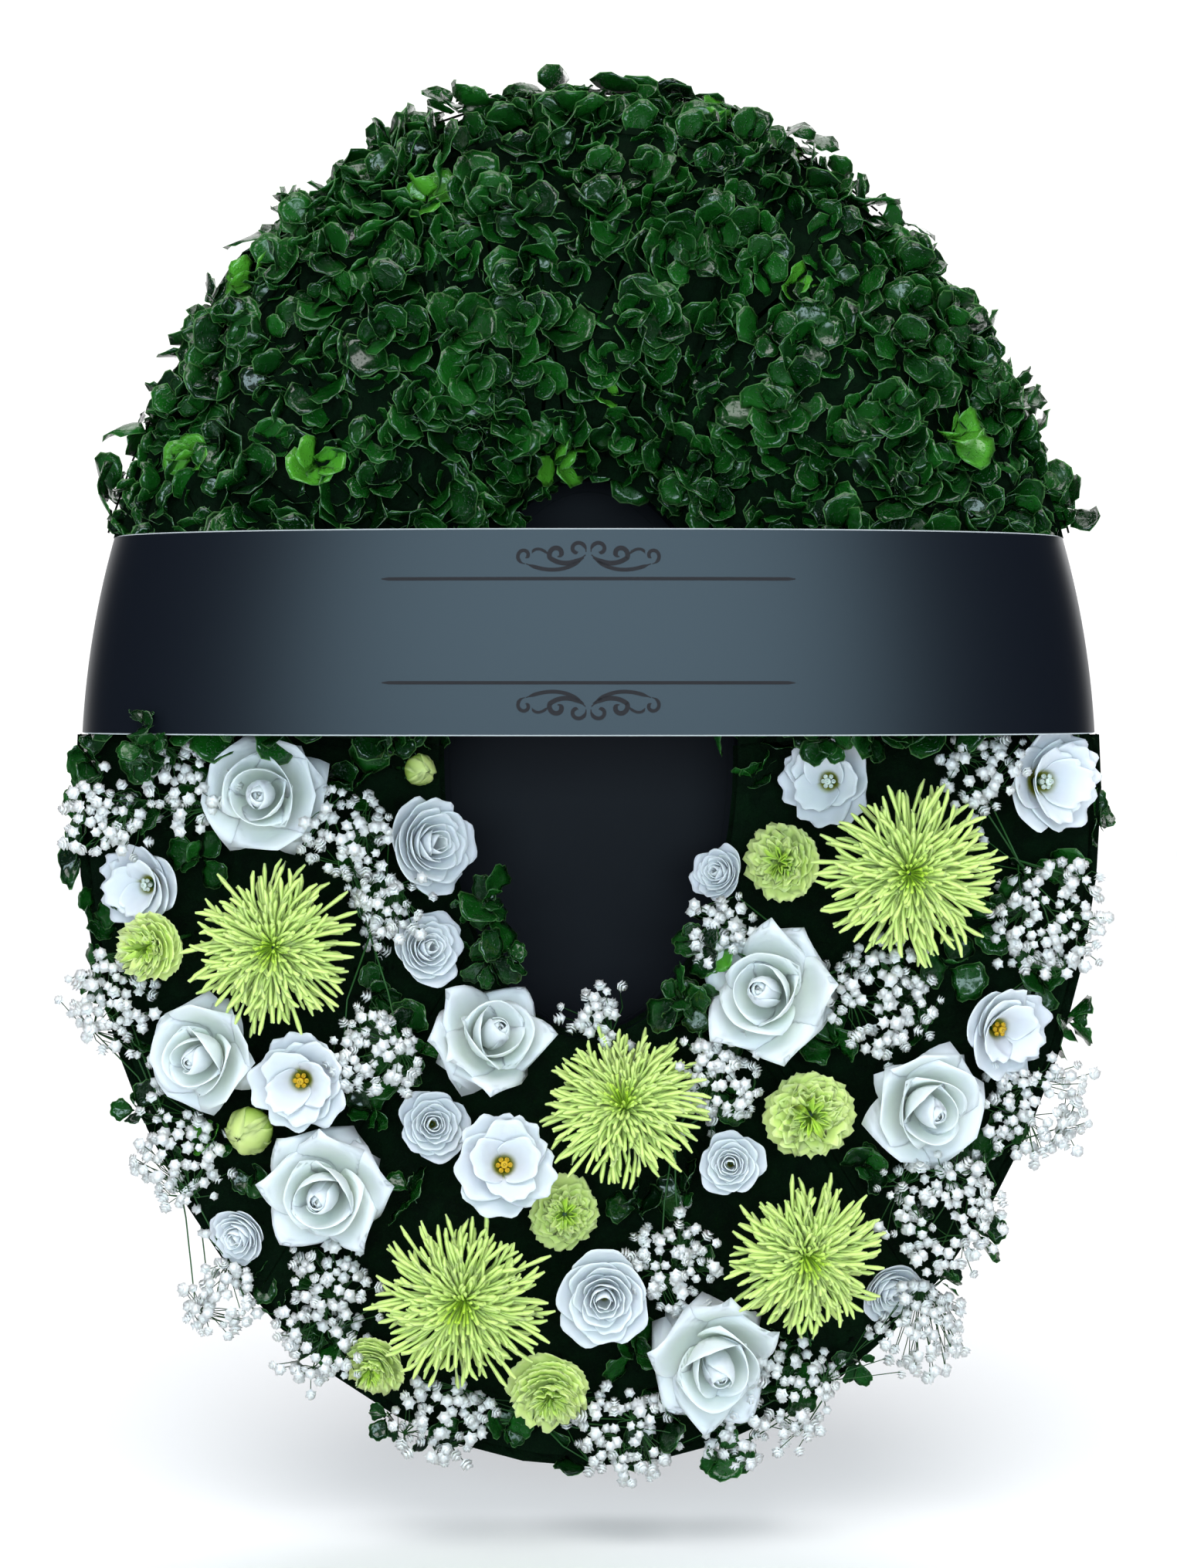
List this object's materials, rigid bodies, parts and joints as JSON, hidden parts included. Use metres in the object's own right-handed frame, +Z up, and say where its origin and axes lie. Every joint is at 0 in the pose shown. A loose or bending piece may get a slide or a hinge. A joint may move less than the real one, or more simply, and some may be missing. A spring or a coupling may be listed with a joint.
{
  "type": "memorial wreath",
  "caption": "Hanging oval wreath: leafy dome above, white and green cut flowers and baby's breath below, and a bare black message band bent across the front.",
  "frame": {"origin": "centre of the oval back board's back face", "axes": "+Z up, -Y out of the front of the wreath towards the viewer, +X to the viewer's right"},
  "size_m": [0.744, 0.2045, 1.006],
  "materials": {
    "board": "painted satin black",
    "strip": "satin black",
    "foam": "matt dark green, open-celled",
    "band": "semi-gloss black",
    "pin": "glossy black enamel",
    "wire": "bright drawn wire",
    "rose_petal": "soft matt white with a green tinge",
    "lisianthus_petal": "soft matt cool white",
    "mum_petal": "satin yellow-green",
    "carnation_petal": "matt pale green",
    "bud": "satin pale green",
    "floret": "matt white",
    "leaf": "glossy dark green"
  },
  "bodies": {
    "root": {"back_board": "board", "outer_skirt": "strip", "hole_liner": "strip", "message_band": "band", "band_pin_left": "pin", "band_pin_right": "pin", "hanging_loop": "wire", "rose_1": "rose_petal", "rose_2": "rose_petal", "rose_3": "rose_petal", "rose_4": "rose_petal", "rose_5": "rose_petal", "rose_6": "rose_petal", "rose_7": "rose_petal", "lisianthus_1": "lisianthus_petal", "lisianthus_2": "lisianthus_petal", "lisianthus_3": "lisianthus_petal", "lisianthus_4": "lisianthus_petal", "lisianthus_5": "lisianthus_petal", "lisianthus_6": "lisianthus_petal", "lisianthus_7": "lisianthus_petal", "lisianthus_8": "lisianthus_petal", "lisianthus_9": "lisianthus_petal", "lisianthus_10": "lisianthus_petal", "lisianthus_11": "lisianthus_petal", "lisianthus_12": "lisianthus_petal", "lisianthus_13": "lisianthus_petal", "lisianthus_14": "lisianthus_petal", "spider_mum_1": "mum_petal", "spider_mum_2": "mum_petal", "spider_mum_3": "mum_petal", "spider_mum_4": "mum_petal", "spider_mum_5": "mum_petal", "carnation_1": "carnation_petal", "carnation_2": "carnation_petal", "carnation_3": "carnation_petal", "carnation_4": "carnation_petal", "carnation_5": "carnation_petal", "carnation_6": "carnation_petal", "lisianthus_bud_1": "bud", "lisianthus_bud_2": "bud", "babys_breath_1": "floret", "babys_breath_2": "floret", "babys_breath_3": "floret", "babys_breath_4": "floret", "babys_breath_5": "floret", "babys_breath_6": "floret", "babys_breath_7": "floret", "babys_breath_8": "floret", "babys_breath_9": "floret", "babys_breath_10": "floret", "dome_greenery_1": "leaf", "dome_greenery_2": "leaf", "dome_greenery_3": "leaf", "dome_greenery_4": "leaf", "dome_greenery_5": "leaf", "bed_greenery_1": "leaf", "bed_greenery_2": "leaf", "bed_greenery_3": "leaf", "foam_ring": "foam"}
  },
  "joints": []
}
